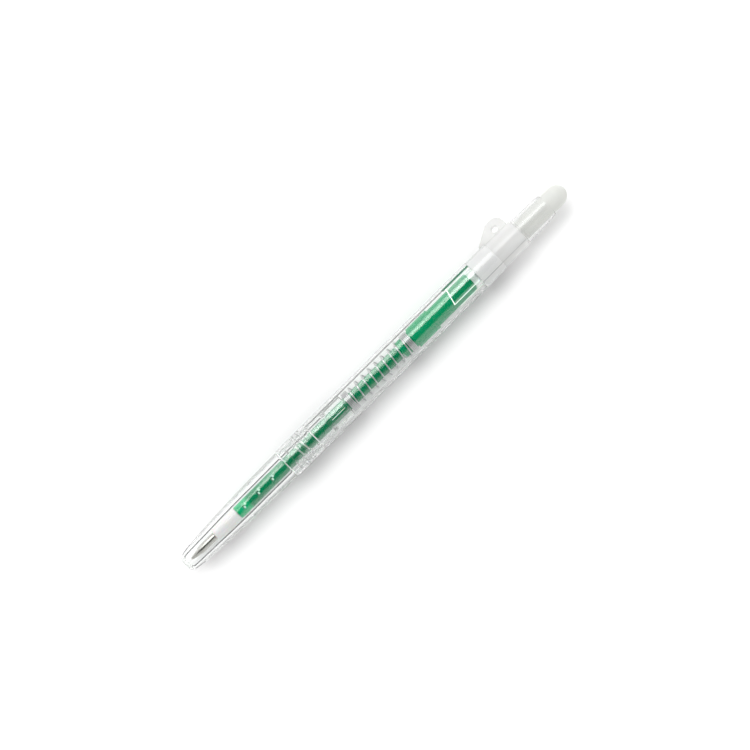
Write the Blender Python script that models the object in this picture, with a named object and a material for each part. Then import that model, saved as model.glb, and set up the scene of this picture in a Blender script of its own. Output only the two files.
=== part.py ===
"""A retractable gel-ink pen with a clear two-part barrel, a green refill and a milky strap lug.

The pen lies on its side on z = 0, nib towards -X, and leans on the rim of its strap fin at +Y.
Every outline is written in millimetres as (station, radius): station runs along the pen's axis
from the mouth of the nose, at 0, to the top of the push button.
"""

import math

import bmesh
import bpy
from mathutils import Matrix, Vector

MM = 0.001

# Driving dimensions, in millimetres.
LENGTH = 144.3
BARREL_R = 4.6
SEAM = 38.4
SHANK_END = 61.3
REAR_BARREL_END = 118.0
RING_START = 118.2
RING_END = 127.2
TAIL_START = 127.4
TAIL_END = 137.8
REFILL_END = 110.8

MOUTH_R = 1.2
BORE_R = 2.5
BORE_GROOVES = (22.4, 27.7, 33.0)
BORE_GROOVE_DEPTH = 0.2
BORE_GROOVE_HALF = 0.65
SHANK_R = 3.55
REAR_BORE_R = 3.68

THREAD_PITCH = 2.08
THREAD_START = 41.6
THREAD_TURNS = 3
THREAD_ROOT_R = 3.5
THREAD_CREST_R = 3.88
THREAD_RELIEF_R = 3.98
THREAD_ROOT_W = 0.9
THREAD_CREST_W = 0.4

SLIT_START = 55.7
SLIT_END = 60.5
SLIT_W = 0.35

FIN_THICK = 1.0
FIN_RIM = 8.93
FIN_ARC_R = 2.6
FIN_ARC_X = 123.85
HOLE_X = 123.2
HOLE_RHO = 5.89
HOLE_R = 1.05

TONGUE_END = 100.8
TONGUE_ROOT = 110.7
TONGUE_MID = 69.0
TONGUE_HALF = 47.0
TONGUE_SLANT = 16.0
RELIEF_R = 0.35
GUIDE_RIBS = 4
GUIDE_RIB_W = 1.2
GUIDE_RIB_R = 2.2
CAM_FIN_W = 0.9

TOOTH_COUNT = 8
TOOTH_DEPTH = 0.8
ROTOR_CROWN = 116.2
CROWN_GAP = 0.15

BALL_X = 2.65
BALL_R = 0.25
SOCKET_R = 0.27
TIP_RIM = 2.57

SPRING_START = 61.5
SPRING_END = 86.4
SPRING_R = 2.95
WIRE_R = 0.2
CLOSED_TURNS = 4.5
CLOSED_PITCH = 0.46
OPEN_TURNS = 8.25
SPRING_PHASE = -36.0

SEGMENTS = 32
SMALL_SEGMENTS = 24

# The barrel rests on one of its facets, so the axis is one apothem above the table.
AXIS_Z = BARREL_R * math.cos(math.pi / SEGMENTS)
HALF_THICK = FIN_THICK / 2
# The fin leans down until the lower edge of its rim meets the table.
FIN_TILT = math.asin(AXIS_Z / math.hypot(FIN_RIM, HALF_THICK)) - math.atan(HALF_THICK / FIN_RIM)
FIN_REACH = FIN_RIM * math.cos(FIN_TILT) + HALF_THICK * math.sin(FIN_TILT)
# The origin is the middle of the footprint, which the fin pushes away from the pen's axis.
AXIS_Y = (AXIS_Z - FIN_REACH) / 2

MATERIALS = {
    "clear_plastic": ((0.94, 0.97, 0.96, 0.3), 0.05, 0.0),
    "milky_plastic": ((0.90, 0.90, 0.88, 1.0), 0.35, 0.0),
    "refill_plastic": ((0.85, 0.93, 0.89, 0.4), 0.15, 0.0),
    "green_ink": ((0.0, 0.26, 0.12, 1.0), 0.2, 0.0),
    "grease": ((0.88, 0.92, 0.88, 0.6), 0.2, 0.0),
    "white_plastic": ((0.90, 0.90, 0.89, 1.0), 0.4, 0.0),
    "steel": ((0.62, 0.62, 0.60, 1.0), 0.25, 1.0),
    "spring_steel": ((0.72, 0.72, 0.72, 1.0), 0.25, 1.0),
}


def clear_scene():
    for obj in list(bpy.data.objects):
        bpy.data.objects.remove(obj, do_unlink=True)


def make_material(name):
    color, roughness, metallic = MATERIALS[name]
    material = bpy.data.materials.get(name) or bpy.data.materials.new(name)
    material.use_nodes = True
    shader = material.node_tree.nodes["Principled BSDF"]
    shader.inputs["Base Color"].default_value = (*color[:3], 1.0)
    shader.inputs["Alpha"].default_value = color[3]
    shader.inputs["Roughness"].default_value = roughness
    shader.inputs["Metallic"].default_value = metallic
    return material


def make_axis():
    """The empty that carries the whole pen: its X axis is the pen's axis, from the mouth."""
    axis = bpy.data.objects.new("pen_axis", None)
    axis.location = (-LENGTH / 2 * MM, AXIS_Y * MM, AXIS_Z * MM)
    bpy.context.scene.collection.objects.link(axis)
    return axis


def add_object(name, data, material=None):
    obj = bpy.data.objects.new(name, data)
    bpy.context.scene.collection.objects.link(obj)
    obj.parent = PEN_AXIS
    if material:
        data.materials.append(make_material(material))
    return obj


def finish_mesh(bm, name, material=None):
    bmesh.ops.remove_doubles(bm, verts=bm.verts, dist=1e-8)
    bmesh.ops.recalc_face_normals(bm, faces=bm.faces)
    mesh = bpy.data.meshes.new(name)
    bm.to_mesh(mesh)
    bm.free()
    mesh.shade_smooth()
    mesh.set_sharp_from_angle(angle=math.radians(35))
    return add_object(name, mesh, material)


def turned(name, outline, material=None, segments=SEGMENTS):
    """Spins an outline round the pen's axis. An outline that starts and ends at radius 0 is left open there."""
    bm = bmesh.new()
    half_step = Matrix.Rotation(math.pi / segments, 3, "X")
    points = [half_step @ Vector((x * MM, 0.0, r * MM)) for x, r in outline]
    verts = [bm.verts.new(point) for point in points]
    edges = [bm.edges.new(pair) for pair in zip(verts, verts[1:])]
    if outline[0][1] > 0 or outline[-1][1] > 0:
        edges.append(bm.edges.new((verts[-1], verts[0])))
    bmesh.ops.spin(
        bm,
        geom=verts + edges,
        axis=(1.0, 0.0, 0.0),
        cent=(0.0, 0.0, 0.0),
        angle=2 * math.pi,
        steps=segments,
        use_merge=True,
    )
    return finish_mesh(bm, name, material)


def block(name, low, high, turn=0.0):
    """A box between two corners, turned round the pen's axis by an angle in radians."""
    bm = bmesh.new()
    bmesh.ops.create_cube(bm, size=1.0)
    size = Vector(high) - Vector(low)
    middle = (Vector(high) + Vector(low)) / 2
    bmesh.ops.scale(bm, vec=size * MM, verts=bm.verts)
    bmesh.ops.translate(bm, vec=middle * MM, verts=bm.verts)
    bmesh.ops.rotate(bm, matrix=Matrix.Rotation(turn, 3, "X"), verts=bm.verts)
    return finish_mesh(bm, name)


def combine(target, tool, operation):
    modifier = target.modifiers.new(tool.name, "BOOLEAN")
    modifier.operation = operation
    modifier.object = tool
    tool.hide_render = True
    tool.display_type = "WIRE"


def fuse(target, tool):
    combine(target, tool, "UNION")


def cut(target, tool):
    combine(target, tool, "DIFFERENCE")


def arc(center, radius, start, end, steps):
    """Points on an arc, with angles in degrees from +X towards the outside."""
    angles = [math.radians(start + (end - start) * i / steps) for i in range(steps + 1)]
    return [(center[0] + radius * math.cos(a), center[1] + radius * math.sin(a)) for a in angles]


def helical_ridge(name, start, turns, base_r, tip_r):
    """A screw thread's ridge: a trapezoid swept along a right-handed helix, pointing from base_r to tip_r."""
    bm = bmesh.new()
    count = turns * SEGMENTS
    corners = (
        (-THREAD_ROOT_W / 2, base_r),
        (THREAD_ROOT_W / 2, base_r),
        (THREAD_CREST_W / 2, tip_r),
        (-THREAD_CREST_W / 2, tip_r),
    )
    rows = []
    for i in range(count + 1):
        angle = 2 * math.pi * (i + 0.5) / SEGMENTS
        station = start + THREAD_PITCH * i / SEGMENTS
        turn = Matrix.Rotation(angle, 3, "X")
        rows.append([bm.verts.new(turn @ Vector(((station + x) * MM, 0.0, r * MM))) for x, r in corners])
    for first, second in zip(rows, rows[1:]):
        for k in range(4):
            bm.faces.new((first[k], first[(k + 1) % 4], second[(k + 1) % 4], second[k]))
    bm.faces.new(rows[0])
    bm.faces.new(rows[-1])
    return finish_mesh(bm, name)


def saw_ring(name, base, depth, inner_r, outer_r, turn, back):
    """A ring whose end at `base` is cut into saw teeth of the given depth. `back` is its plain end's station."""
    bm = bmesh.new()
    rows = []
    step = 2 * math.pi / TOOTH_COUNT
    for tooth in range(TOOTH_COUNT):
        for share in (0.0, 0.32, 0.64, 0.97):
            angle = turn + step * (tooth + share)
            station = base + depth * share / 0.97
            spin = Matrix.Rotation(angle, 3, "X")
            ends = ((back, inner_r), (back, outer_r), (station, outer_r), (station, inner_r))
            rows.append([bm.verts.new(spin @ Vector((x * MM, 0.0, r * MM))) for x, r in ends])
    for i, first in enumerate(rows):
        second = rows[(i + 1) % len(rows)]
        for k in range(4):
            bm.faces.new((first[k], first[(k + 1) % 4], second[(k + 1) % 4], second[k]))
    return finish_mesh(bm, name)


def spokes(target, count, low, high, offset):
    """Fuses `count` equal bars to a round piece, spaced evenly round the axis."""
    for i in range(count):
        bar = block(f"{target.name}_bar_{i}", low, high, turn=offset + 2 * math.pi * i / count)
        fuse(target, bar)


def front_barrel():
    """The clear front half: nose, bore with three ring grooves, threaded shank with its slit."""
    lip = arc((0.45, 1.65), 0.45, 225, 135, 2)
    nose = [(0.8, 2.42), (1.6, 2.78), (4.6, 3.2), (11.4, 3.7), (16.0, 3.98), (25.0, 4.22)]
    grip = [(32.0, 4.34), (SEAM - 0.25, 4.42), (SEAM, 4.25)]
    pilot = [(SEAM, 3.9), (40.7, 3.9), (41.0, THREAD_ROOT_R), (48.2, THREAD_ROOT_R)]
    shank = [(48.3, 3.6), (48.9, 3.6), (49.0, SHANK_R), (SHANK_END - 0.15, SHANK_R), (SHANK_END, 3.4)]
    mouthpiece = [(16.0, 2.4), (11.4, 2.25), (4.6, 2.0), (1.9, 1.88), (1.3, 1.6), (0.85, 1.28)]
    bore = [(SHANK_END, 3.1), (54.6, 3.1), (53.9, BORE_R)]
    for groove in reversed(BORE_GROOVES):
        bore.append((groove + BORE_GROOVE_HALF, BORE_R))
        bore.append((groove, BORE_R + BORE_GROOVE_DEPTH))
        bore.append((groove - BORE_GROOVE_HALF, BORE_R))
    throat = [(0.7, MOUTH_R), (0.35, MOUTH_R)]
    outline = lip[1:] + nose + grip + pilot + shank + bore + mouthpiece + throat
    barrel = turned("front_barrel", outline, "clear_plastic")
    thread = helical_ridge(
        "front_barrel_thread", THREAD_START, THREAD_TURNS, THREAD_ROOT_R - 0.15, THREAD_CREST_R
    )
    fuse(barrel, thread)
    slit = block(
        "front_barrel_slit", (SLIT_START, -SLIT_W / 2, 2.4), (SLIT_END, SLIT_W / 2, 4.4)
    )
    cut(barrel, slit)
    return barrel


def rear_barrel():
    """The clear rear half, with the female thread in front and a wide seat for the lug sleeve behind."""
    outline = [
        (SEAM + 0.1, 4.4),
        (SEAM + 0.5, 4.55),
        (41.0, BARREL_R),
        (112.0, BARREL_R),
        (REAR_BARREL_END - 0.3, 4.47),
        (REAR_BARREL_END, 4.3),
        (REAR_BARREL_END, 4.06),
        (110.6, 4.06),
        (110.2, REAR_BORE_R),
        (49.5, REAR_BORE_R),
        (49.2, THREAD_RELIEF_R),
        (SEAM + 0.1, THREAD_RELIEF_R),
    ]
    barrel = turned("rear_barrel", outline, "clear_plastic")
    thread = helical_ridge(
        "rear_barrel_thread",
        THREAD_START + THREAD_PITCH / 2,
        THREAD_TURNS - 1,
        THREAD_RELIEF_R + 0.15,
        REAR_BORE_R,
    )
    fuse(barrel, thread)
    return barrel


def fin_point(x, rho, across):
    """A point on the strap fin's plate: station, distance from the axis and height off the plate's middle."""
    outwards = Vector((0.0, math.cos(FIN_TILT), -math.sin(FIN_TILT)))
    normal = Vector((0.0, math.sin(FIN_TILT), math.cos(FIN_TILT)))
    return (Vector((x, 0.0, 0.0)) + outwards * rho + normal * across) * MM


def fin_prism(name, outline, half):
    """Extrudes an outline, drawn as (station, distance from the axis), through the fin's thickness."""
    bm = bmesh.new()
    lower = [bm.verts.new(fin_point(x, rho, -half)) for x, rho in outline]
    face = bm.faces.new(lower)
    extruded = bmesh.ops.extrude_face_region(bm, geom=[face])
    moved = [item for item in extruded["geom"] if isinstance(item, bmesh.types.BMVert)]
    shift = fin_point(0.0, 0.0, half) - fin_point(0.0, 0.0, -half)
    bmesh.ops.translate(bm, vec=shift, verts=moved)
    return finish_mesh(bm, name)


def lug_sleeve():
    """The milky sleeve that closes the rear barrel, with its fin and strap hole."""
    outline = [
        (110.9, 3.85),
        (111.1, 4.0),
        (RING_START, 4.0),
        (RING_START, 4.18),
        (RING_END - 0.2, 4.18),
        (RING_END, 4.0),
        (RING_END, 3.62),
        (110.9, 3.62),
    ]
    sleeve = turned("lug_sleeve", outline, "milky_plastic")
    rim = arc((FIN_ARC_X, FIN_RIM - FIN_ARC_R), FIN_ARC_R, 90, 0, 8)
    beak = [(RING_START + 0.1, 3.85), (RING_START + 0.1, 4.8), (116.8, 4.8), (116.55, 5.3)]
    fin = fin_prism("lug_sleeve_fin", beak + [(122.0, 8.72)] + rim + [(126.6, 3.85)], HALF_THICK)
    hole = fin_prism("lug_sleeve_hole", arc((HOLE_X, HOLE_RHO), HOLE_R, 0, 345, 23), 2 * HALF_THICK)
    fuse(sleeve, fin)
    cut(sleeve, hole)
    return sleeve


def sector(name, low, high, middle, half):
    """A wedge of space round the axis, from station low to high, centred on an angle up from +Y."""
    bm = bmesh.new()
    reach = 6.0
    angles = [math.radians(middle + half * share) for share in (-1.0, -0.5, 0.0, 0.5, 1.0)]
    section = [(0.0, 0.0)] + [(reach * math.cos(a), reach * math.sin(a)) for a in angles]
    face = bm.faces.new([bm.verts.new((low * MM, y * MM, z * MM)) for y, z in section])
    extruded = bmesh.ops.extrude_face_region(bm, geom=[face])
    moved = [item for item in extruded["geom"] if isinstance(item, bmesh.types.BMVert)]
    bmesh.ops.translate(bm, vec=((high - low) * MM, 0.0, 0.0), verts=moved)
    return finish_mesh(bm, name)


def relief_hole(name, angle):
    """The round end of a slot's corner: a pin of space through the wall, at an angle up from +Y."""
    bm = bmesh.new()
    bmesh.ops.create_cone(
        bm, cap_ends=True, segments=12, radius1=RELIEF_R * MM, radius2=RELIEF_R * MM, depth=2 * MM
    )
    bmesh.ops.translate(bm, vec=(TONGUE_ROOT * MM, 0.0, 3.2 * MM), verts=bm.verts)
    turn = Matrix.Rotation(math.radians(angle - 90), 3, "X")
    bmesh.ops.rotate(bm, matrix=turn, verts=bm.verts)
    return finish_mesh(bm, name)


def slanted_end(name, turn):
    """The space in front of a tongue, whose end is cut at a slant. turn swings it round the pen's axis."""
    tool = block(name, (TONGUE_END - 4.0, -5.0, 0.2), (TONGUE_END, 5.0, 5.0))
    pivot = Matrix.Translation((TONGUE_END * MM, -1.5 * MM, 0.0))
    slant = Matrix.Rotation(-math.radians(TONGUE_SLANT), 4, "Z")
    tool.data.transform(Matrix.Rotation(turn, 4, "X") @ pivot @ slant @ pivot.inverted())
    return tool


def cam_guide_tube():
    """The clear tube in the sleeve: two tongues in front, four guide ribs inside, the tail behind."""
    outline = [
        (TONGUE_END - 0.6, 3.4),
        (110.8, 3.4),
        (111.1, 3.52),
        (TAIL_START, 3.52),
        (TAIL_START, 3.85),
        (133.0, 3.76),
        (136.6, 3.62),
        (TAIL_END - 0.25, 3.45),
        (TAIL_END, 3.25),
        (TAIL_END, 3.14),
        (120.9, 3.14),
        (120.6, 2.95),
        (TONGUE_END - 0.6, 2.95),
    ]
    tube = turned("cam_guide_tube", outline, "clear_plastic")
    low = (113.8, -GUIDE_RIB_W / 2, GUIDE_RIB_R)
    high = (120.4, GUIDE_RIB_W / 2, 3.2)
    spokes(tube, GUIDE_RIBS, low, high, math.pi / 4)
    slot_half = 90.0 - TONGUE_HALF
    for i, middle in enumerate((TONGUE_MID - 90.0, TONGUE_MID + 90.0)):
        cut(tube, sector(f"guide_slot_{i}", 99.0, TONGUE_ROOT, middle, slot_half))
        for j, corner in enumerate((middle - slot_half, middle + slot_half)):
            cut(tube, relief_hole(f"guide_relief_{i}_{j}", corner))
    for i in range(2):
        cut(tube, slanted_end(f"guide_end_{i}", math.pi * i))
    return tube


def push_button():
    """The milky domed knob, hollow from its front end."""
    dome = [(140.8 + 3.5 * math.cos(a), 3.03 * math.sin(a)) for a in dome_angles()]
    cavity = [(139.8 + 2.4 * math.cos(a), 2.2 * math.sin(a)) for a in dome_angles()]
    front = [(128.2, 3.03), (127.9, 2.8), (127.9, 2.2)]
    outline = dome[::-1] + front + cavity
    return turned("push_button", outline, "milky_plastic")


def dome_angles():
    """Angles of a dome's outline, from its rim to its top."""
    steps = 6
    return [math.pi / 2 * (1 - i / steps) for i in range(steps + 1)]


def plunger_cam():
    """The stem under the knob: splines that keep it from turning, and saw teeth that face the rotor."""
    crown = ROTOR_CROWN + CROWN_GAP + TOOTH_DEPTH / 2
    body = crown + TOOTH_DEPTH + 0.1
    # The bore for the rotor's pilot is blind, so the outline runs from its end on the axis.
    outline = [
        (122.0, 0.0),
        (122.0, 0.95),
        (body, 0.95),
        (body, 1.9),
        (126.8, 1.9),
        (126.8, 2.9),
        (127.6, 2.9),
        (127.6, 2.1),
        (131.0, 2.1),
        (131.0, 0.0),
    ]
    plunger = turned("plunger_cam", outline, "milky_plastic", SMALL_SEGMENTS)
    teeth = saw_ring("plunger_cam_teeth", crown, TOOTH_DEPTH, 0.97, 1.88, 0.0, body + 0.5)
    fuse(plunger, teeth)
    low = (body + 0.2, -CAM_FIN_W / 2, 1.5)
    high = (126.9, CAM_FIN_W / 2, 2.78)
    spokes(plunger, GUIDE_RIBS, low, high, 0.0)
    return plunger


def rotor_cam():
    """The indexing cam: a flange that pushes the refill, fins, saw teeth and a pilot pin."""
    outline = [
        (111.1, 0.0),
        (111.1, 2.4),
        (111.2, 2.55),
        (112.0, 2.55),
        (112.0, 1.9),
        (ROTOR_CROWN - 0.3, 1.9),
        (ROTOR_CROWN - 0.3, 0.75),
        (119.4, 0.75),
        (119.6, 0.5),
        (119.6, 0.0),
    ]
    rotor = turned("rotor_cam", outline, "white_plastic", SMALL_SEGMENTS)
    half_tooth = math.pi / TOOTH_COUNT
    teeth = saw_ring("rotor_cam_teeth", ROTOR_CROWN, TOOTH_DEPTH, 0.97, 1.88, half_tooth, ROTOR_CROWN - 0.6)
    fuse(rotor, teeth)
    low = (111.8, -CAM_FIN_W / 2, 1.5)
    high = (115.6, CAM_FIN_W / 2, 2.75)
    spokes(rotor, GUIDE_RIBS, low, high, 0.0)
    return rotor


def return_spring():
    """A left-handed compression spring with closed ends, from the shank's end to the refill's collar."""
    length = SPRING_END - SPRING_START - 2 * WIRE_R
    open_length = length - 2 * CLOSED_TURNS * CLOSED_PITCH
    turns = 2 * CLOSED_TURNS + OPEN_TURNS
    per_turn = 14
    count = round(turns * per_turn)
    curve = bpy.data.curves.new("return_spring", "CURVE")
    curve.dimensions = "3D"
    curve.bevel_depth = WIRE_R * MM
    curve.bevel_resolution = 1
    curve.use_fill_caps = True
    spline = curve.splines.new("POLY")
    spline.points.add(count)
    for i, point in enumerate(spline.points):
        turn = turns * i / count
        opened = min(max(turn - CLOSED_TURNS, 0.0), OPEN_TURNS)
        station = (turn - opened) * CLOSED_PITCH + opened * open_length / OPEN_TURNS
        angle = math.radians(SPRING_PHASE) - 2 * math.pi * turn
        x = SPRING_START + WIRE_R + station
        point.co = (x * MM, SPRING_R * math.cos(angle) * MM, SPRING_R * math.sin(angle) * MM, 1.0)
    return add_object("return_spring", curve, "spring_steel")


def refill_tube():
    """The ink tube: narrow in front, wide behind, with the collar that the spring pushes on."""
    outline = [
        (19.85, 1.9),
        (81.1, 1.9),
        (81.7, 2.6),
        (86.6, 2.6),
        (86.6, 3.2),
        (94.2, 3.2),
        (94.3, 2.76),
        (REFILL_END, 2.76),
        (REFILL_END, 2.3),
        (82.0, 2.3),
        (81.2, 1.47),
        (19.85, 1.47),
    ]
    return turned("refill_tube", outline, "refill_plastic", SEGMENTS)


def ink_column():
    """The ink: it fills the tube from the holder's nozzle to the grease, and ends in a round nose."""
    outline = [
        (24.3, 0.0),
        (24.3, 1.14),
        (20.1, 1.14),
        (20.1, 1.42),
        (81.25, 1.42),
        (82.05, 2.25),
        (108.6, 2.25),
        (109.2, 1.7),
        (109.5, 0.0),
    ]
    return turned("ink_column", outline, "green_ink", SEGMENTS)


def ink_follower():
    """The clear grease behind the ink, hollowed in front to take the ink's round nose."""
    outline = [(109.8, 0.0), (109.5, 1.65), (108.95, 2.22), (110.4, 2.22), (110.2, 0.0)]
    return turned("ink_follower", outline, "grease", SEGMENTS)


def tip_holder():
    """The white plug that joins the steel tip to the tube: socket in front, nozzle behind."""
    outline = [
        (11.35, 1.55),
        (11.9, 1.86),
        (19.7, 1.9),
        (19.7, 1.42),
        (19.95, 1.42),
        (20.05, 1.08),
        (24.1, 1.08),
        (24.1, 0.6),
        (14.8, 0.6),
        (14.8, 1.04),
        (11.35, 1.04),
    ]
    return turned("tip_holder", outline, "white_plastic", SMALL_SEGMENTS)


def writing_tip():
    """The steel tip: cone, shank, ink channel and the socket that holds the ball."""
    mouth_angle = math.degrees(math.acos((BALL_X - TIP_RIM) / SOCKET_R))
    socket = arc((BALL_X, 0.0), SOCKET_R, 25, 180 - mouth_angle, 4)
    outline = [
        (TIP_RIM, 0.36),
        (4.3, 0.77),
        (6.2, 1.15),
        (11.2, 1.15),
        (11.2, 1.0),
        (14.5, 1.0),
        (14.5, 0.35),
        (3.4, 0.35),
    ]
    return turned("writing_tip", outline + socket, "steel", SMALL_SEGMENTS)


def writing_ball():
    """The ball, with its origin at its own centre, which is on the axis it rolls about."""
    bm = bmesh.new()
    bmesh.ops.create_uvsphere(bm, u_segments=16, v_segments=10, radius=BALL_R * MM)
    ball = finish_mesh(bm, "writing_ball", "steel")
    ball.location.x = BALL_X * MM
    return ball


clear_scene()
PEN_AXIS = make_axis()
front_barrel()
rear_barrel()
lug_sleeve()
cam_guide_tube()
push_button()
plunger_cam()
rotor_cam()
return_spring()
refill_tube()
ink_column()
ink_follower()
tip_holder()
writing_tip()
writing_ball()
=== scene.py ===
import math

import bmesh
import bpy
from mathutils import Matrix, Vector


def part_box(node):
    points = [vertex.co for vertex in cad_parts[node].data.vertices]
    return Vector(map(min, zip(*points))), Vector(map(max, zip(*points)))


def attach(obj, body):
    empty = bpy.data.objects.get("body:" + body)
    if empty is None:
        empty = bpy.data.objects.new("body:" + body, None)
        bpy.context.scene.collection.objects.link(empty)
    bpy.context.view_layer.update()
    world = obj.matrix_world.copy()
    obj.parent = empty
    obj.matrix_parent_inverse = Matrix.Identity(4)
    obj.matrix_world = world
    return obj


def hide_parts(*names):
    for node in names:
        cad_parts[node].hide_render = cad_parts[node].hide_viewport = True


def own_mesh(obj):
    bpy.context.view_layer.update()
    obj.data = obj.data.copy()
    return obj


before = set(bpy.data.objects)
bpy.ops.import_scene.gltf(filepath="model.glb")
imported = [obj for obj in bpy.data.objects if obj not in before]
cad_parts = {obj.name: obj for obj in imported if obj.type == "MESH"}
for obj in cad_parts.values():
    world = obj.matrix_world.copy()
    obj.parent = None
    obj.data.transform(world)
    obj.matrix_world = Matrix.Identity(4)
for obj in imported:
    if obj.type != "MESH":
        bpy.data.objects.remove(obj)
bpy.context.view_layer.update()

# Looks of a retractable gel pen that lies on a white table: clear barrel, green ink, milky rear end.
# Outlines are (station, radius) pairs in millimetres. A station runs along the pen's axis from the
# mouth of the nose to the top of the knob.

MM = 0.001


def middle_of(node):
    low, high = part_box(node)
    return (low + high) / 2


MOUTH_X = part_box("front_barrel")[0].x
AXIS = middle_of("writing_ball")
ORIGIN = Vector((MOUTH_X, AXIS.y, AXIS.z))


def first(node):
    """The station where a CAD node starts."""
    return (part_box(node)[0].x - MOUTH_X) / MM


def last(node):
    """The station where a CAD node ends."""
    return (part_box(node)[1].x - MOUTH_X) / MM


def widest(node):
    """A CAD node's radius where it is thickest: half its height."""
    low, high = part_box(node)
    return (high.z - low.z) / 2 / MM


SEAM = first("rear_barrel") - 0.1
SHANK_END = last("front_barrel")
REAR_END = last("rear_barrel")
RING_END = last("lug_sleeve")
TAIL_END = last("cam_guide_tube")
KNOB_START = first("push_button")
KNOB_END = last("push_button")
REFILL_START = first("refill_tube")
REFILL_END = last("refill_tube")
SPRING_START = first("return_spring")
SPRING_END = last("return_spring")
BARREL_R = widest("rear_barrel")

BORE_R = 2.5
REAR_BORE_R = 3.68
SHANK_R = 3.55
GUIDE_R = 3.52
REAR_BORE_START = 49.3
REAR_BORE_END = 110.78
SHADED_START = 38.3
STEP_START = 53.8
STEP_END = 55.5
TONGUES_START = 101.2
SLIT_START = 55.7
SLIT_END = 60.5
SLIT_W = 0.35
WIDE_TUBE = 81.3
ROTOR_CROWN = 116.2
TOOTH_DEPTH = 0.8
THREAD_PITCH = 2.08
THREAD_START = 41.6
THREAD_TURNS = 3
THREAD_ROOT_R = 3.5
THREAD_CREST_R = 3.76
THREAD_RELIEF_R = 3.98
COLUMNS = 160
FIN_TILT = math.radians(27.58)


# Geometry ------------


def at(station, radius, angle):
    """A point in the row frame. The angle turns round the axis from straight up, by the right-hand rule."""
    y = AXIS.y - radius * math.sin(angle) * MM
    z = AXIS.z + radius * math.cos(angle) * MM
    return (MOUTH_X + station * MM, y, z)


def arc(center, radius, start, end, steps):
    """Points on an arc in the outline's plane, with angles in degrees from +X towards the outside."""
    angles = [math.radians(start + (end - start) * i / steps) for i in range(steps + 1)]
    return [(center[0] + radius * math.cos(a), center[1] + radius * math.sin(a)) for a in angles]


def quarter_ellipse(start, depth, radius, steps):
    """A domed end: from its full radius at station start to the axis, depth further on."""
    angles = [math.pi / 2 * k / steps for k in range(steps)]
    return [(start + depth * math.sin(a), radius * math.cos(a)) for a in angles] + [(start + depth, 0.0)]


def catmull_rom(a, b, c, d, t):
    """One coordinate of a smooth curve, at a share t of the way from b to c."""
    square = (2 * a - 5 * b + 4 * c - d) * t**2
    cube = (3 * b - a - 3 * c + d) * t**3
    return 0.5 * (2 * b + (c - a) * t + square + cube)


def flowing(points, steps=5):
    """A smooth curve through points."""
    padded = [points[0], *points, points[-1]]
    curve = []
    for four in zip(padded, padded[1:], padded[2:], padded[3:]):
        for i in range(steps):
            curve.append(tuple(catmull_rom(*values, i / steps) for values in zip(*four)))
    return curve + [points[-1]]


def rounded(outline, radius=0.08, steps=3, closed=True):
    """Rounds an outline's corners of more than 15 degrees."""
    result = []
    count = len(outline)
    for i, point in enumerate(outline):
        if not closed and i in (0, count - 1):
            result.append(point)
            continue
        here = Vector(point)
        before = Vector(outline[i - 1]) - here
        after = Vector(outline[(i + 1) % count]) - here
        turn = math.pi - before.angle(after)
        if turn < math.radians(15):
            result.append(point)
            continue
        back = min(radius * math.tan(turn / 2), 0.45 * before.length, 0.45 * after.length)
        start = here + before.normalized() * back
        end = here + after.normalized() * back
        for k in range(steps + 1):
            t = k / steps
            result.append(tuple(start * (1 - t) ** 2 + here * 2 * t * (1 - t) + end * t**2))
    return result


def new_object(name, verts, faces):
    """An object with a mesh of its own, in the scene."""
    mesh = bpy.data.meshes.new(name)
    mesh.from_pydata(verts, [], faces)
    mesh.validate()
    obj = bpy.data.objects.new(name, mesh)
    bpy.context.scene.collection.objects.link(obj)
    return obj


def column_angles(count=COLUMNS, gap=0.0):
    """Angles of a turned piece's columns. With a gap, the first two columns stand that far each side of
    the top."""
    if not gap:
        return [2 * math.pi * i / count for i in range(count)]
    rest = 2 * math.pi - 2 * gap
    return [-gap] + [gap + rest * i / (count - 1) for i in range(count - 1)]


def turned(name, outline, closed=True, relief=None, angles=None, window=None):
    """Spins an outline round the axis. relief(station, radius, angle) is added to the radius. A closed
    outline meets itself, and an open one starts and ends on the axis. window = (low, high) leaves a slot
    open between the first two columns, with walls, from station low to high."""
    angles = angles or column_angles()
    verts = []
    rows = []
    for station, radius in outline:
        if radius < 1e-6:
            rows.append([len(verts)] * len(angles))
            verts.append(at(station, 0.0, 0.0))
            continue
        rows.append(list(range(len(verts), len(verts) + len(angles))))
        for angle in angles:
            extra = relief(station, radius, angle) if relief else 0.0
            verts.append(at(station, radius + extra, angle))
    pairs = list(zip(range(len(rows)), range(1, len(rows))))
    if closed:
        pairs.append((len(rows) - 1, 0))
    faces = []
    sides = []
    for i, j in pairs:
        cut = window and {round(outline[i][0], 4), round(outline[j][0], 4)} == {round(w, 4) for w in window}
        if cut:
            sides.append((i, j))
        for k in range(len(angles)):
            if cut and k == 0:
                continue
            n = (k + 1) % len(angles)
            quad = [rows[i][k], rows[i][n], rows[j][n], rows[j][k]]
            face = [v for m, v in enumerate(quad) if v != quad[m - 1]]
            if len(face) > 2:
                faces.append(face)
    if sides:
        (a, b), (c, d) = sides
        faces.append([rows[a][0], rows[b][0], rows[c][0], rows[d][0]])
        faces.append([rows[d][1], rows[c][1], rows[b][1], rows[a][1]])
        faces.append([rows[a][1], rows[a][0], rows[d][0], rows[d][1]])
        faces.append([rows[b][0], rows[b][1], rows[c][1], rows[c][0]])
    return new_object(name, verts, faces)


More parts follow.
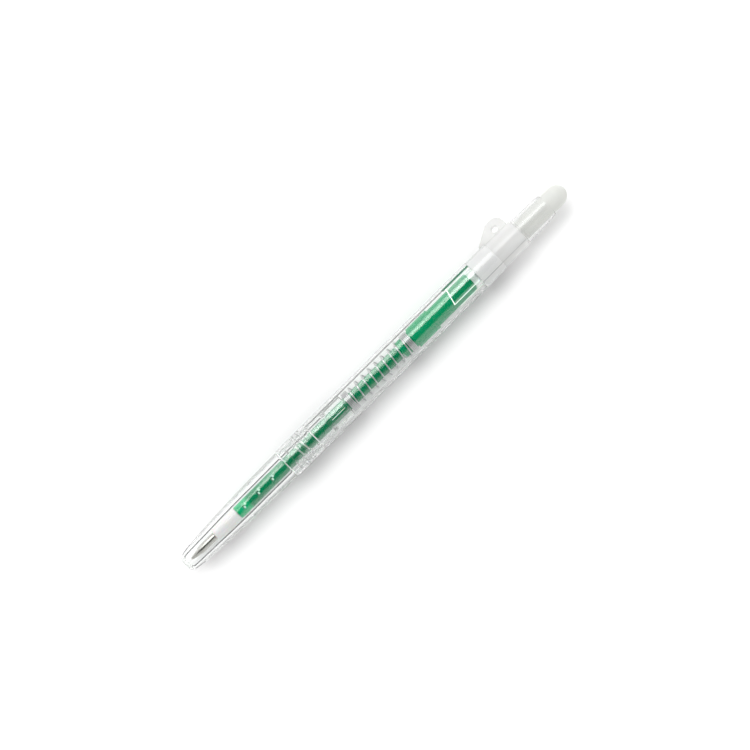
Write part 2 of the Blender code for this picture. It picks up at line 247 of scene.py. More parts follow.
def swept(name, centers, radius, sides, tangents):
    """A round wire along a path, with closed ends."""
    verts = []
    for center, tangent in zip(centers, tangents):
        across = tangent.cross(Vector((1.0, 0.0, 0.0))).normalized()
        up = tangent.cross(across).normalized()
        for k in range(sides):
            a = 2 * math.pi * k / sides
            verts.append(center + (across * math.cos(a) + up * math.sin(a)) * radius)
    faces = []
    for i in range(len(centers) - 1):
        for k in range(sides):
            n = (k + 1) % sides
            faces.append([i * sides + k, i * sides + n, (i + 1) * sides + n, (i + 1) * sides + k])
    faces.append(list(range(sides))[::-1])
    faces.append([(len(centers) - 1) * sides + k for k in range(sides)])
    return new_object(name, verts, faces)


def prism(name, outline, place, low, high):
    """Extrudes an outline of pairs between two heights. place(a, b, height) gives the point in the row
    frame."""
    count = len(outline)
    verts = [place(a, b, low) for a, b in outline] + [place(a, b, high) for a, b in outline]
    faces = [list(range(count))[::-1], list(range(count, 2 * count))]
    for i in range(count):
        n = (i + 1) % count
        faces.append([i, n, count + n, count + i])
    return new_object(name, verts, faces)


def block(name, low, high, turn=0.0):
    """A box from corner low to corner high, as (station, across, up), turned round the axis."""
    spin = Matrix.Rotation(turn, 3, "X")
    corners = [
        ORIGIN + spin @ Vector((x, y, z)) * MM
        for x in (low[0], high[0])
        for y in (low[1], high[1])
        for z in (low[2], high[2])
    ]
    faces = [(0, 1, 3, 2), (4, 6, 7, 5), (0, 4, 5, 1), (2, 3, 7, 6), (0, 2, 6, 4), (1, 5, 7, 3)]
    return new_object(name, corners, faces)


def four_blocks(name, low, high, turn=0.0):
    """Four equal boxes a quarter turn apart round the axis."""
    return [block(f"{name}_{i}", low, high, turn + math.pi / 2 * i) for i in range(4)]


def recalculated(obj):
    """Turns an object's faces so that they all look outwards."""
    bm = bmesh.new()
    bm.from_mesh(obj.data)
    bmesh.ops.recalc_face_normals(bm, faces=bm.faces)
    bm.to_mesh(obj.data)
    bm.free()
    return obj


def applied(obj):
    """Replaces an object's mesh by the mesh that its modifiers make."""
    graph = bpy.context.evaluated_depsgraph_get()
    mesh = bpy.data.meshes.new_from_object(obj.evaluated_get(graph))
    obj.modifiers.clear()
    obj.data = mesh
    return obj


def combined(target, tools, operation):
    """Cuts tools out of a target (DIFFERENCE) or fuses them to it (UNION)."""
    recalculated(target)
    for tool in tools:
        recalculated(tool)
        modifier = target.modifiers.new(tool.name, "BOOLEAN")
        modifier.operation = operation
        modifier.solver = "MANIFOLD"
        modifier.object = tool
    applied(target)
    for tool in tools:
        bpy.data.objects.remove(tool, do_unlink=True)
    return target


def softened(obj, width, angle=35.0):
    """Bevels an object's sharp edges by a small round."""
    bevel = obj.modifiers.new("soft_edges", "BEVEL")
    bevel.width = width * MM
    bevel.segments = 2
    bevel.limit_method = "ANGLE"
    bevel.angle_limit = math.radians(angle)
    bevel.use_clamp_overlap = True
    return applied(obj)


def piece(obj, material, body, node, trims=()):
    """Finishes a piece: smooth shading, its material, and the body and CAD node that it stands for. trims
    holds pairs of a material and a test: a face takes the first material whose test its center passes."""
    recalculated(obj)
    obj.data.shade_smooth()
    obj.data.set_sharp_from_angle(angle=math.radians(40))
    normals = obj.modifiers.new("even_shading", "WEIGHTED_NORMAL")
    normals.keep_sharp = True
    obj.data.materials.clear()
    obj.data.materials.append(material)
    for trim in trims:
        obj.data.materials.append(trim[0])
    for polygon in obj.data.polygons:
        station = (polygon.center.x - MOUTH_X) / MM
        across = (polygon.center.y - AXIS.y) / MM
        up = (polygon.center.z - AXIS.z) / MM
        passed = [i for i, trim in enumerate(trims) if trim[1](station, across, up)]
        if passed:
            polygon.material_index = passed[0] + 1
    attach(obj, body)
    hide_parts(node)
    return obj


def smoothstep(t):
    """Rises softly from 0 to 1 while t goes from 0 to 1."""
    t = min(max(t, 0.0), 1.0)
    return t * t * (3 - 2 * t)


def ridge(station, angle, start, turns):
    """How high a right-handed thread stands at a point, from 0 in the root to 1 on the crest. It runs out
    smoothly over an eighth of a turn at each end."""
    share = angle / (2 * math.pi)
    turn = round((station - start) / THREAD_PITCH - share)
    along = turn + share
    off = abs(station - start - along * THREAD_PITCH)
    ends = smoothstep(along * 8) * smoothstep((turns - along) * 8)
    return smoothstep((0.6 - off) / 0.4) * ends


def thread_stations(low, high, step=0.07):
    """Evenly spaced stations, close enough to carry a thread's shape."""
    count = round((high - low) / step)
    return [low + (high - low) * i / count for i in range(count + 1)]


# Materials ------------


def add(tree, kind, **values):
    """A node with its named properties and input sockets set."""
    node = tree.nodes.new(kind)
    for name, value in values.items():
        socket = node.inputs.get(name.replace("_", " "))
        if socket is not None:
            socket.default_value = value
        else:
            setattr(node, name, value)
    return node


def principled(name, **values):
    """A material with its sockets set: the material, its tree, its shader and the object's coordinates."""
    material = bpy.data.materials.new(name)
    material.use_nodes = True
    tree = material.node_tree
    shader = tree.nodes["Principled BSDF"]
    for socket, value in values.items():
        shader.inputs[socket.replace("_", " ")].default_value = value
    place = add(tree, "ShaderNodeTexCoord")
    return material, tree, shader, place.outputs["Object"]


def noise(tree, place, scale, detail=2.0, stretch=None):
    """Noise over an object's own coordinates, in features of 1/scale metres."""
    if stretch:
        mapping = add(tree, "ShaderNodeMapping")
        mapping.inputs["Scale"].default_value = stretch
        tree.links.new(place, mapping.inputs["Vector"])
        place = mapping.outputs["Vector"]
    texture = add(tree, "ShaderNodeTexNoise", Scale=scale, Detail=detail)
    tree.links.new(place, texture.inputs["Vector"])
    return texture.outputs["Fac"]


def bump(tree, shader, height, distance):
    """Raises a shader's surface by a height of 0 to 1 times a distance in metres."""
    node = add(tree, "ShaderNodeBump", Strength=1.0, Distance=distance)
    tree.links.new(height, node.inputs["Height"])
    tree.links.new(node.outputs["Normal"], shader.inputs["Normal"])


def between(tree, factor, low, high):
    """Maps a factor of 0 to 1 onto low to high."""
    node = add(tree, "ShaderNodeMapRange")
    node.inputs["To Min"].default_value = low
    node.inputs["To Max"].default_value = high
    tree.links.new(factor, node.inputs["Value"])
    return node.outputs["Result"]


def blended(tree, factor, first_color, second_color):
    """Mixes two colours, each given as three numbers or as another node's output."""
    node = add(tree, "ShaderNodeMix", data_type="RGBA")
    sockets = [s for s in node.inputs if s.type == "RGBA"]
    for socket, color in zip(sockets, (first_color, second_color)):
        if isinstance(color, tuple):
            socket.default_value = (*color, 1.0)
        else:
            tree.links.new(color, socket)
    tree.links.new(factor, node.inputs["Factor"])
    return [s for s in node.outputs if s.type == "RGBA"][0]


def combined_values(tree, operation, first_value, second_value):
    """Two nodes' outputs put together by a math operation."""
    node = add(tree, "ShaderNodeMath", operation=operation)
    tree.links.new(first_value, node.inputs[0])
    tree.links.new(second_value, node.inputs[1])
    return node.outputs[0]


def mixed_shaders(tree, share, first_shader, second_shader):
    """Mixes two shaders. share is another node's output."""
    mix = add(tree, "ShaderNodeMixShader")
    tree.links.new(share, mix.inputs[0])
    tree.links.new(first_shader.outputs[0], mix.inputs[1])
    tree.links.new(second_shader.outputs[0], mix.inputs[2])
    return mix


def mapped(tree, value, low, high, at_low, at_high):
    """Maps a value between low and high onto at_low to at_high, with soft ends."""
    node = add(tree, "ShaderNodeMapRange", interpolation_type="SMOOTHSTEP")
    limits = (("From Min", low), ("From Max", high), ("To Min", at_low), ("To Max", at_high))
    for socket, limit in limits:
        node.inputs[socket].default_value = limit
    tree.links.new(value, node.inputs["Value"])
    return node.outputs["Result"]


def facing(tree):
    """0 where a surface is met square on, 1 where it is grazed."""
    return add(tree, "ShaderNodeLayerWeight", Blend=0.5).outputs["Facing"]


def lets_light_through(tree, shader, square, grazing, share=1.0):
    """A share of the light on its way to or from a matt surface passes straight through. It passes by the
    amount square where it meets the wall square on, and by grazing where it comes from outside and grazes
    the wall. So what is inside is lit and the shadow is a soft grey one."""
    output = tree.nodes["Material Output"]
    path = add(tree, "ShaderNodeLightPath")
    either = combined_values(tree, "MAXIMUM", path.outputs["Is Shadow Ray"], path.outputs["Is Diffuse Ray"])
    scaled = add(tree, "ShaderNodeMath", operation="MULTIPLY")
    scaled.inputs[1].default_value = share
    tree.links.new(either, scaled.inputs[0])
    clear = add(tree, "ShaderNodeBsdfTransparent")
    inward = mapped(tree, facing(tree), 0.0, 0.28, square, grazing)
    outward = add(tree, "ShaderNodeNewGeometry").outputs["Backfacing"]
    passes = add(tree, "ShaderNodeMix", data_type="FLOAT")
    tree.links.new(outward, passes.inputs[0])
    tree.links.new(inward, passes.inputs[2])
    passes.inputs[3].default_value = square
    tree.links.new(passes.outputs[0], clear.inputs["Color"])
    mix = mixed_shaders(tree, scaled.outputs[0], shader, clear)
    tree.links.new(mix.outputs[0], output.inputs["Surface"])


def painted_shade_rim(tree, shader, depth, start, end, color):
    """Paints shade: a dark line along a bore, standing in for the darkness where the bore's skin is seen at
    a slant through the wall. start and end are the facing values between which it lies, and depth is how
    dark it is."""
    soft = 0.015
    inside = add(tree, "ShaderNodeNewGeometry").outputs["Backfacing"]
    rising = mapped(tree, facing(tree), start - soft, start + soft, 0.0, depth)
    falling = mapped(tree, facing(tree), end - soft, end + soft, 1.0, 0.0)
    band = combined_values(tree, "MULTIPLY", rising, falling)
    seen = combined_values(tree, "MULTIPLY", band, inside)
    dark = add(tree, "ShaderNodeBsdfDiffuse", Color=(*color, 1.0))
    return mixed_shaders(tree, seen, shader, dark)


def see_through(tree, shader, square, grazing):
    """Lets a share of the view pass straight, so that a rim doesn't look like a black outline. The share is
    square where the surface is met square on and grazing where it is grazed."""
    share = mapped(tree, facing(tree), 0.3, 0.6, square, grazing)
    plain = add(tree, "ShaderNodeBsdfTransparent", Color=(0.97, 0.98, 0.97, 1.0))
    return mixed_shaders(tree, share, shader, plain)


def clear_plastic(name, ior, roughness, color, square, grazing, shine=0.5, rim=None, straight=None):
    """Polished clear plastic, whose gloss varies a little with handling. square and grazing are how much
    light passes it, shine is its specular level, rim the painted shade line along a bore, and straight the
    shares of the view that pass it straight."""
    material, tree, shader, place = principled(
        name, Base_Color=(*color, 1.0), Transmission_Weight=1.0, IOR=ior,
        Roughness=roughness, Specular_IOR_Level=shine,
    )
    wear = noise(tree, place, 900.0, 4.0)
    tree.links.new(between(tree, wear, roughness * 0.6, roughness * 1.6), shader.inputs["Roughness"])
    surface = shader
    if rim:
        surface = painted_shade_rim(tree, surface, *rim)
    if straight:
        surface = see_through(tree, surface, *straight)
    lets_light_through(tree, surface, square, grazing)
    return material


def barrel_plastic(name, grazing, shine=0.5, rim=None, straight=None, roughness=0.02):
    """The clear plastic of the barrel's halves and the guide tube."""
    color = (0.985, 0.995, 0.99)
    return clear_plastic(name, 1.57, roughness, color, 0.95, grazing, shine, rim, straight)


def milky_plastic(name, color, clearness, roughness, depth, passing=0.8, shine=0.5, painted_glow=0.0):
    """Natural polypropylene: light soaks in to a depth, and shapes behind it show softly. passing is the
    share that goes straight through, shine the specular level, and the glow is painted light: a faint light
    of its own that lightens it where it would look too dark."""
    solid = (*color, 1.0)
    material, tree, shader, place = principled(
        name, Base_Color=solid, Transmission_Weight=clearness, IOR=1.49, Roughness=roughness,
        Specular_IOR_Level=shine, Subsurface_Weight=1.0, Subsurface_Scale=depth,
        Subsurface_Radius=(1.0, 0.97, 0.92), Emission_Color=solid, Emission_Strength=painted_glow,
    )
    cloud = noise(tree, place, 500.0, 3.0)
    tint = blended(tree, cloud, tuple(c * 0.985 for c in color), color)
    tree.links.new(tint, shader.inputs["Base Color"])
    gloss = between(tree, noise(tree, place, 1500.0), roughness * 0.85, roughness * 1.2)
    tree.links.new(gloss, shader.inputs["Roughness"])
    bump(tree, shader, noise(tree, place, 4000.0, 2.0), 0.000004)
    back = add(tree, "ShaderNodeBsdfTranslucent", Color=solid)
    mix = add(tree, "ShaderNodeMixShader")
    mix.inputs[0].default_value = 0.3
    tree.links.new(shader.outputs[0], mix.inputs[1])
    tree.links.new(back.outputs[0], mix.inputs[2])
    lets_light_through(tree, mix, 0.95, 0.9, passing)
    return material


def white_plastic(name, color, painted_glow=0.0, straight=None):
    """Opaque white moulded plastic with a fine grain. The glow is painted light, which makes an edge or
    spot shine on its own. straight makes it partly see-through: the shares of the view that pass it
    straight."""
    material, tree, shader, place = principled(
        name, Base_Color=(*color, 1.0), Roughness=0.35, Subsurface_Weight=0.4, Subsurface_Scale=0.0006,
        Emission_Color=(*color, 1.0), Emission_Strength=painted_glow,
    )
    tint = blended(tree, noise(tree, place, 700.0), tuple(c * 0.97 for c in color), color)
    tree.links.new(tint, shader.inputs["Base Color"])
    bump(tree, shader, noise(tree, place, 5000.0), 0.000006)
    if straight:
        lets_light_through(tree, see_through(tree, shader, *straight), 0.95, 0.9)
    return material


def gel_ink(name):
    """Green gel ink behind the tube's wall: brightest where it lies thinly over the white nozzle, and
    brighter in the wide part of the tube than in the narrow one."""
    material, tree, shader, place = principled(
        name, Roughness=0.4, Specular_IOR_Level=0.0, Subsurface_Weight=0.5,
        Subsurface_Scale=0.0004, Subsurface_Radius=(0.2, 1.0, 0.5),
    )
    split = add(tree, "ShaderNodeSeparateXYZ")
    tree.links.new(place, split.inputs[0])
    thin_end = MOUTH_X + last("tip_holder") * MM
    wide_start = MOUTH_X + WIDE_TUBE * MM
    past_nozzle = mapped(tree, split.outputs[0], thin_end - 0.0006, thin_end + 0.0006, 0.0, 1.0)
    wide = mapped(tree, split.outputs[0], wide_start - 0.0004, wide_start + 0.0004, 0.0, 1.0)
    cloud = noise(tree, place, 350.0, 3.0, (0.25, 1.0, 1.0))
    narrow_ink = blended(tree, cloud, (0.001, 0.22, 0.087), (0.001, 0.27, 0.108))
    wide_ink = blended(tree, cloud, (0.001, 0.3, 0.12), (0.001, 0.34, 0.14))
    color = blended(tree, wide, narrow_ink, wide_ink)
    thin_ink = blended(tree, cloud, (0.01, 0.42, 0.17), (0.01, 0.47, 0.2))
    tree.links.new(blended(tree, past_nozzle, thin_ink, color), shader.inputs["Base Color"])
    return material


def turned_steel(name, color, roughness, ring_scale, ring_height):
    """Steel off a lathe: fine rings round the axis."""
    material, tree, shader, place = principled(
        name, Base_Color=(*color, 1.0), Metallic=1.0, Roughness=roughness
    )
    rings = noise(tree, place, ring_scale, 2.0, (1.0, 0.02, 0.02))
    tree.links.new(between(tree, rings, roughness * 0.7, roughness * 1.4), shader.inputs["Roughness"])
    bump(tree, shader, rings, ring_height)
    return material


# Pieces ------------


def front_barrel(
    material, bore_material, shaded_material, lip_material, edge_material, crest_material, glint_material
):
    """The clear front half: nose, bore with three sets of dimples, threaded shank with its slit. The bore
    carries a painted shade line on both sides as far as the seam. Behind it the painted line is dark on the
    fin's side and grey on the other. The slit's sides, the thread's crests and two spots at each upper
    dimple carry painted light."""
    lip = arc((0.5, 1.7), 0.5, 270, 120, 10)
    nose = flowing(
        [
            lip[-1], (0.9, 2.4), (1.9, 2.83), (4.6, 3.2), (11.4, 3.7), (16.0, 3.98), (25.0, 4.22),
            (SEAM - 0.25, 4.42),
        ]
    )
    collar = [(SEAM, 4.25), (SEAM, 3.9), (40.7, 3.9), (41.0, THREAD_ROOT_R)]
    thread_end = 48.2
    shank = [
        (48.3, 3.6), (48.9, 3.6), (49.0, SHANK_R), (SLIT_START, SHANK_R), (SLIT_END, SHANK_R),
        (SHANK_END - 0.15, SHANK_R), (SHANK_END, 3.4),
    ]
    step_length = STEP_END - STEP_START
    step = [(STEP_START + step_length * i / 8, BORE_R + 0.6 * smoothstep(i / 8)) for i in range(8, -1, -1)]
    bore = [(SHANK_END, 3.1), (SLIT_END, 3.1), (SLIT_START, 3.1), *step]

    def drafted(station):
        """The bore's radius, which widens a little towards the back."""
        near = min(max((station - 14.0) / 8.0, 0.0), 1.0)
        far = min(max((station - 30.0) / 8.0, 0.0), 1.0)
        return 2.3 + 0.13 * near + 0.05 * far

    middles = (33.0, 27.7, 22.4)
    dimple_r = 0.6
    dimple_depth = 0.32
    dimple_rows = [dimple_r * (1 - i / 10) for i in range(-10, 21)]
    dimpled = [(middle + x, drafted(middle + x)) for middle in middles for x in dimple_rows]
    throat = flowing([(16.0, drafted(16.0)), (11.4, 2.17), (4.6, 2.0), (2.0, 1.88), (1.3, 1.6), (0.9, 1.3)])
    turns = [(x, THREAD_ROOT_R) for x in thread_stations(41.05, thread_end)]
    head = rounded(nose + collar, closed=False)
    tail = rounded(shank + bore, closed=False)
    line_change = [(SHADED_START, drafted(SHADED_START))]
    outline = lip[:-1] + head + turns + tail + line_change + dimpled + throat
    gap = math.asin(SLIT_W / 2 / 3.3)

    def dimple(station, radius, angle):
        """How deep a dimple is at a point of the bore. Each set has one on top, one below and one each
        side."""
        quarter = math.pi / 2
        turn = (angle + quarter / 2) % quarter - quarter / 2
        off = min(math.hypot(station - middle, turn * radius) for middle in middles)
        return dimple_depth * math.cos(min(off / dimple_r, 1.0) * quarter) ** 2

    def relief(station, radius, angle):
        """Dimples in the bore and the thread on the shank."""
        if radius < 2.6 and 21.0 < station < 35.0:
            return dimple(station, radius, angle)
        if radius < 3.3 or not 41.0 < station < thread_end + 0.01:
            return 0.0
        height = THREAD_CREST_R - THREAD_ROOT_R
        return height * ridge(station, angle % (2 * math.pi), THREAD_START, THREAD_TURNS)

    barrel = turned(
        "clear_front_barrel",
        outline,
        relief=relief,
        angles=column_angles(COLUMNS, gap),
        window=(SLIT_START, SLIT_END),
    )
    # The slit's upper edges are flared, so that its sides lean out and show from above, bright with painted
    # light.
    flare = 0.28
    for vertex in barrel.data.vertices:
        station = (vertex.co.x - MOUTH_X) / MM
        across = (vertex.co.y - AXIS.y) / MM
        up = (vertex.co.z - AXIS.z) / MM
        at_slit = SLIT_START - 0.01 < station < SLIT_END + 0.01
        if at_slit and up > 3.3 and 0.1 < abs(across) < 0.2:
            vertex.co.y = AXIS.y + math.copysign(flare, across) * MM

    bore_limit = 3.2
    lip_end = 1.4

    def on_lip(station, across, up):
        return station < lip_end

    # The slit's sides carry painted light: a glowing white.
    def on_slit(station, across, up):
        in_slit = SLIT_START < station < SLIT_END and math.hypot(across, up) < 3.45
        return in_slit and up > 3.12 and -0.25 < across < 0.05

    def on_glint(station, across, up):
        """Two painted glints at each upper dimple: glowing spots where light would glint. A spot is how far
        along and across it is from the dimple's center, and its radius."""
        if up < 2.0 or math.hypot(across, up) > bore_limit:
            return False
        spots = ((0.15, -0.2, 0.27), (0.75, 0.42, 0.33))
        return any(
            math.hypot(station - middle - x, across - y) < r for middle in middles for x, y, r in spots
        )

    # The bore's faces that carry the painted shade line.
    def on_bore(station, across, up):
        in_step = STEP_START - 0.1 < station < STEP_END + 0.1
        lined = station < SHADED_START or across > 0
        return math.hypot(across, up) < bore_limit and not in_step and lined

    def on_shaded_bore(station, across, up):
        return SHADED_START < station < STEP_START - 0.1 and math.hypot(across, up) < 3.0

    # The thread's crests on top carry painted light, as bright bars.
    def on_crest(station, across, up):
        on_thread = 41.1 < station < thread_end and up > 0 and -1.5 < across < 1.8
        return on_thread and THREAD_CREST_R - 0.01 < math.hypot(across, up) < 3.8

    trims = [
        (lip_material, on_lip),
        (edge_material, on_slit),
        (glint_material, on_glint),
        (bore_material, on_bore),
        (shaded_material, on_shaded_bore),
        (crest_material, on_crest),
    ]
    return piece(barrel, material, "front_barrel", "front_barrel", trims)


def rear_barrel(material, bore_material, edge_material, tongue_material, shaded_material):
    """The clear rear half, with the female thread in front and the milky sleeve's seat behind. Its bore
    carries a painted shade line on the fin's side, green where the tongues lie behind it, and a grey one on
    the other. Its front rim carries painted light."""
    outer = [
        (SEAM + 0.1, 4.35), (SEAM + 0.35, 4.55), (41.0, BARREL_R), (112.0, BARREL_R),
        (REAR_END - 0.3, 4.47), (REAR_END, 4.3), (REAR_END, 4.06), (110.8, 4.06),
        (REAR_BORE_END, REAR_BORE_R), (TONGUES_START, REAR_BORE_R), (REAR_BORE_START, REAR_BORE_R),
        (49.0, THREAD_RELIEF_R),
    ]
    turns = [(x, THREAD_RELIEF_R) for x in reversed(thread_stations(41.2, 48.6))]
    outline = rounded(outer, 0.03, closed=False) + turns + [(SEAM + 0.1, THREAD_RELIEF_R)]

    def relief(station, radius, angle):
        """The female thread, which stands in from the wall."""
        if radius > 4.0 or not 41.0 < station < 48.7:
            return 0.0
        start = THREAD_START + THREAD_PITCH / 2
        return -0.2 * ridge(station, angle, start, THREAD_TURNS - 1)

    barrel = turned("clear_rear_barrel", outline, relief=relief)

    # The front rim carries painted light, as a bright line.
    def on_rim(station, across, up):
        return station < SEAM + 0.34

    def in_bore(station, across, up):
        return REAR_BORE_START < station < REAR_BORE_END and math.hypot(across, up) < 3.75

    def on_bore(station, across, up):
        return in_bore(station, across, up) and across > 0

    def by_tongue(station, across, up):
        return station > TONGUES_START and on_bore(station, across, up)

    trims = [
        (edge_material, on_rim),
        (tongue_material, by_tongue),
        (bore_material, on_bore),
        (shaded_material, in_bore),
    ]
    return piece(barrel, material, "rear_assembly", "rear_barrel", trims)


def fin_place(station, reach, height):
    """A point on the strap fin's plate: station, distance from the axis and height off its middle plane."""
    y = AXIS.y + (reach * math.cos(FIN_TILT) + height * math.sin(FIN_TILT)) * MM
    z = AXIS.z + (height * math.cos(FIN_TILT) - reach * math.sin(FIN_TILT)) * MM
    return (MOUTH_X + station * MM, y, z)


def lug_sleeve(material, seat_material, fin_material, shade_line_material):
    """The milky sleeve that closes the rear barrel, with its fin and strap hole. Its front part touches the
    barrel's seat and is painted lighter, with a faint painted glow, so that it isn't dark behind the
    barrel.
    A fine line of painted shade runs along it."""
    shade_line_angle = 37.5
    ring_start = 118.2
    outline = rounded(
        [
            (110.83, 3.85), (110.95, 4.07), (ring_start, 4.07), (ring_start, 4.18),
            (RING_END - 0.2, 4.18), (RING_END, 4.0), (RING_END, 3.62), (110.83, 3.62),
        ]
    )
    sleeve = turned("milky_lug_sleeve", outline, angles=column_angles(120))
    hole_center = (123.2, 5.89)
    hole_r = 1.05
    half_thickness = 0.5
    rim = arc((123.85, 6.33), 2.6, 90, 0, 16)
    beak = [(ring_start + 0.1, 3.85), (ring_start + 0.1, 4.8), (116.8, 4.8), (116.55, 5.3)]
    plate = beak + [(122.0, 8.72)] + rim + [(126.6, 3.85)]
    fin = prism("fin", plate, fin_place, -half_thickness, half_thickness)
    hole = prism("hole", arc(hole_center, hole_r, 0, 352.5, 47), fin_place, -1.0, 1.0)
    softened(fin, 0.14, 50)
    combined(sleeve, [fin], "UNION")
    combined(sleeve, [hole], "DIFFERENCE")

    # Painted light: the seat's faces take a lighter, faintly glowing copy of the milky plastic.
    def on_seat(station, across, up):
        return station < ring_start and 3.9 < math.hypot(across, up) < 4.1

    def on_fin(station, across, up):
        return math.hypot(across, up) > 4.3

    # A painted shade line along the sleeve.
    def on_painted_shade_line(station, across, up):
        turn = math.degrees(math.atan2(-across, up))
        return abs(turn - shade_line_angle) < 1.5 and math.hypot(across, up) > 3.9

    trims = [(fin_material, on_fin), (shade_line_material, on_painted_shade_line), (seat_material, on_seat)]
    return piece(sleeve, material, "rear_assembly", "lug_sleeve", trims)


def sector(name, low, high, middle, half):
    """A wedge of space round the axis, centred on an angle in degrees up from +Y."""
    reach = 6.0
    angles = [math.radians(middle + half * k / 6) for k in range(-6, 7)]
    section = [(0.0, 0.0)] + [(reach * math.cos(a), reach * math.sin(a)) for a in angles]

    def place(across, up, station):
        return (MOUTH_X + station * MM, AXIS.y + across * MM, AXIS.z + up * MM)

    return prism(name, section, place, low, high)


def cam_guide_tube(material, edge_material, tongue_material, tail_material):
    """The clear tube in the sleeve: two tongues in front, four guide ribs inside, the tail behind. The
    tongues' edges carry painted light, so they show as bright lines, and their inner skin carries a painted
    shade line. Each tongue ends at a slant."""
    tongue_end = 100.8
    tongue_slant = math.radians(16.0)
    tongue_middle = 69.0
    tongue_half = 47.0
    slot_half = 90.0 - tongue_half
    root = 110.7
    front = 100.2
    edge_rows = [(front + 0.12 * i, 3.4) for i in range(1, 22)]
    outline = rounded(
        [
            (front, 3.4), *edge_rows, (110.8, 3.4), (111.1, GUIDE_R), (127.4, GUIDE_R),
            (127.4, 3.85), (133.0, 3.76), (136.6, 3.62), (TAIL_END - 0.25, 3.45), (TAIL_END, 3.25),
            (TAIL_END, 3.14), (120.9, 3.14), (120.6, 2.95), (front, 2.95),
        ]
    )
    tube = turned("clear_guide_tube", outline, angles=column_angles(128))
    tools = []
    for i, middle in enumerate((tongue_middle - 90.0, tongue_middle + 90.0)):
        tools.append(sector(f"slot_{i}", 99.0, root, middle, slot_half))
        for j, corner in enumerate((middle - slot_half, middle + slot_half)):
            turn = math.radians(corner - 90)
            spin = Matrix.Rotation(turn, 3, "X")

            def place(along, across, up, spin=spin):
                point = spin @ Vector((root + along, across, up)) * MM
                return tuple(point + ORIGIN)

            tools.append(prism(f"relief_{i}_{j}", arc((0.0, 0.0), 0.35, 0, 345, 23), place, 2.2, 4.2))
    for i in range(2):
        tool = block(f"end_{i}", (tongue_end - 4.0, -5.0, 0.2), (tongue_end, 5.0, 5.0))
        pivot = Vector((tongue_end, -1.5, 0.0)) * MM
        slant = Matrix.Rotation(-tongue_slant, 3, "Z")
        swing = Matrix.Rotation(math.pi * i, 3, "X")
        for vertex in tool.data.vertices:
            local = slant @ (vertex.co - ORIGIN - pivot) + pivot
            vertex.co = swing @ local + ORIGIN
        tools.append(tool)
    combined(tube, tools, "DIFFERENCE")
    ribs = four_blocks("rib", (113.8, -0.6, 2.2), (120.4, 0.6, 3.2), math.pi / 4)
    combined(tube, ribs, "UNION")

    def with_painted_light(station, across, up):
        """The skin near a tongue's two long edges and its end, which carries painted light."""
        radius = math.hypot(across, up)
        angle = math.degrees(math.atan2(up, across)) % 180.0
        to_side = abs(abs(angle - tongue_middle) - tongue_half)
        side = math.radians(to_side) * radius < 0.27
        swung = across if up > 0 else -across
        end = station - tongue_end - (swung + 1.5) * math.tan(tongue_slant) < 0.3
        return radius > 2.96 and station < root + 0.2 and (side or end)

    def on_tongue(station, across, up):
        return station < root and math.hypot(across, up) < 2.96

    def on_tail(station, across, up):
        return station > 120.5

    trims = [(edge_material, with_painted_light), (tongue_material, on_tongue), (tail_material, on_tail)]
    return piece(tube, material, "rear_assembly", "cam_guide_tube", trims)


def knob(material):
    """The milky domed knob, hollow from its front end."""
    dome = quarter_ellipse(KNOB_END - 3.5, 3.5, 3.03, 20)
    front = [(KNOB_START, 2.2), (KNOB_START, 2.85), (KNOB_START + 0.3, 3.03)]
    cavity = quarter_ellipse(139.8, 2.4, 2.2, 12)
    outline = cavity[::-1] + rounded([cavity[0]] + front + [dome[0]], closed=False)[1:-1] + dome
    obj = turned("milky_knob", outline, closed=False, angles=column_angles(120))
    return piece(obj, material, "push_button", "push_button")


def saw_teeth(name, base, depth, back, turn):
    """A ring whose end is cut into eight saw teeth of the given depth."""
    inner_r = 0.97
    outer_r = 1.88
    peak = 0.97
    rows = []
    verts = []
    for tooth in range(8):
        for share in (0.0, 0.24, 0.48, 0.72, peak):
            angle = turn + math.pi / 4 * (tooth + share)
            station = base + depth * share / peak
            for x, r in ((back, inner_r), (back, outer_r), (station, outer_r), (station, inner_r)):
                verts.append(at(x, r, angle))
            rows.append(len(verts) - 4)
    faces = []
    for i, row in enumerate(rows):
        following = rows[(i + 1) % len(rows)]
        for k in range(4):
            n = (k + 1) % 4
            faces.append([row + k, row + n, following + n, following + k])
    return new_object(name, verts, faces)


def plunger(material):
    """The stem under the knob, with its splines and the saw teeth that face the rotor."""
    crown = ROTOR_CROWN + TOOTH_DEPTH / 2 + 0.15
    body = crown + 0.9
    outline = rounded(
        [
            (122.0, 0.0), (122.0, 0.95), (body, 0.95), (body, 1.9), (126.8, 1.9), (126.8, 2.9),
            (127.6, 2.9), (127.6, 2.1), (131.0, 2.1), (131.0, 0.0),
        ],
        closed=False,
    )
    obj = turned("milky_plunger", outline, closed=False, angles=column_angles(64))
    bars = four_blocks("spline", (body + 0.2, -0.45, 1.5), (126.9, 0.45, 2.78))
    combined(obj, [saw_teeth("teeth", crown, TOOTH_DEPTH, body + 0.5, 0.0)] + bars, "UNION")
    return piece(obj, material, "push_button", "plunger_cam")


def rotor(material):
    """The indexing cam: a flange that pushes the refill, fins, saw teeth and a pilot pin."""
    outline = rounded(
        [
            (111.1, 0.0), (111.1, 2.4), (111.2, 2.55), (112.0, 2.55), (112.0, 1.9), (115.9, 1.9),
            (115.9, 0.75), (119.4, 0.75), (119.6, 0.5), (119.6, 0.0),
        ],
        closed=False,
    )
    obj = turned("white_rotor", outline, closed=False, angles=column_angles(64))
    bars = four_blocks("fin", (111.8, -0.45, 1.5), (115.6, 0.45, 2.75))
    combined(obj, [saw_teeth("teeth", ROTOR_CROWN, TOOTH_DEPTH, 115.6, math.pi / 8)] + bars, "UNION")
    return piece(obj, material, "rotor_cam", "rotor_cam")


